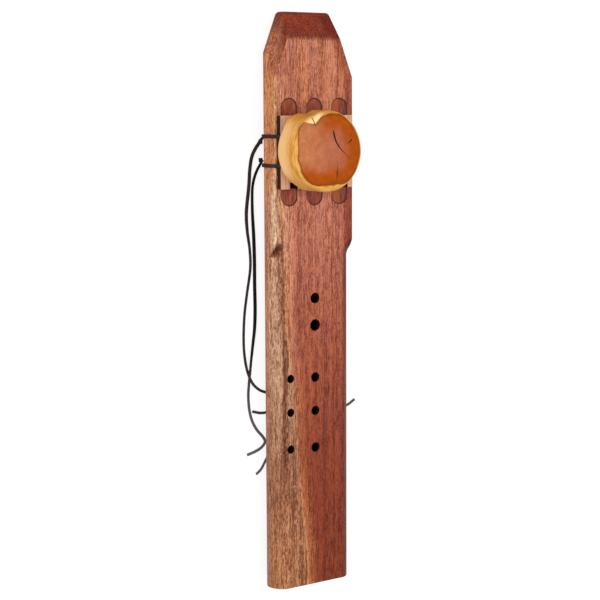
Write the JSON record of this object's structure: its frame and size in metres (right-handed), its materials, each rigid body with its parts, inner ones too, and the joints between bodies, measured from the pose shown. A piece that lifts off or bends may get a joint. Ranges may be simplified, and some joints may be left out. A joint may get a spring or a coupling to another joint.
{
  "type": "triple drone flute",
  "caption": "Flat wooden triple drone flute with side-by-side bores, finger holes, and a lace-tied block that carries a round wooden knob.",
  "frame": {"origin": "centre of the box around the flute without its loose lace ends, at the floor it lies on", "axes": "+Y along the flute towards the mouth end, +Z out of the front face with the finger holes, +X to the drone bore's side"},
  "size_m": [0.1466, 0.61, 0.0858],
  "materials": {
    "body_wood": "oiled satin",
    "inlay_wood": "oiled satin",
    "plug_wood": "sanded",
    "block_base_wood": "oiled satin",
    "block_plate_wood": "oiled satin",
    "knob_wood": "polished",
    "peg_wood": "sanded",
    "lace_leather": "matte"
  },
  "bodies": {
    "body": {"front_board": "body_wood", "back_board": "body_wood", "left_inlay": "inlay_wood", "middle_inlay": "inlay_wood", "right_inlay": "inlay_wood", "left_plug": "plug_wood", "middle_plug": "plug_wood", "right_plug": "plug_wood", "upper_lace_wrap": "lace_leather", "lower_lace_wrap": "lace_leather", "upper_lace_knot": "lace_leather", "lower_lace_knot": "lace_leather", "upper_lace_link": "lace_leather", "upper_lace_long_tail": "lace_leather", "lower_lace_long_tail": "lace_leather", "upper_lace_inner_tail": "lace_leather", "lower_lace_inner_tail": "lace_leather"},
    "block": {"block_base": "block_base_wood", "block_plate": "block_plate_wood", "peg": "peg_wood", "knob": "knob_wood"}
  },
  "joints": [
    {"name": "block_slide", "type": "slide", "parent": "body", "child": "block", "axis": [0, 1, 0], "range_m": [-0.006, 0.005]}
  ]
}
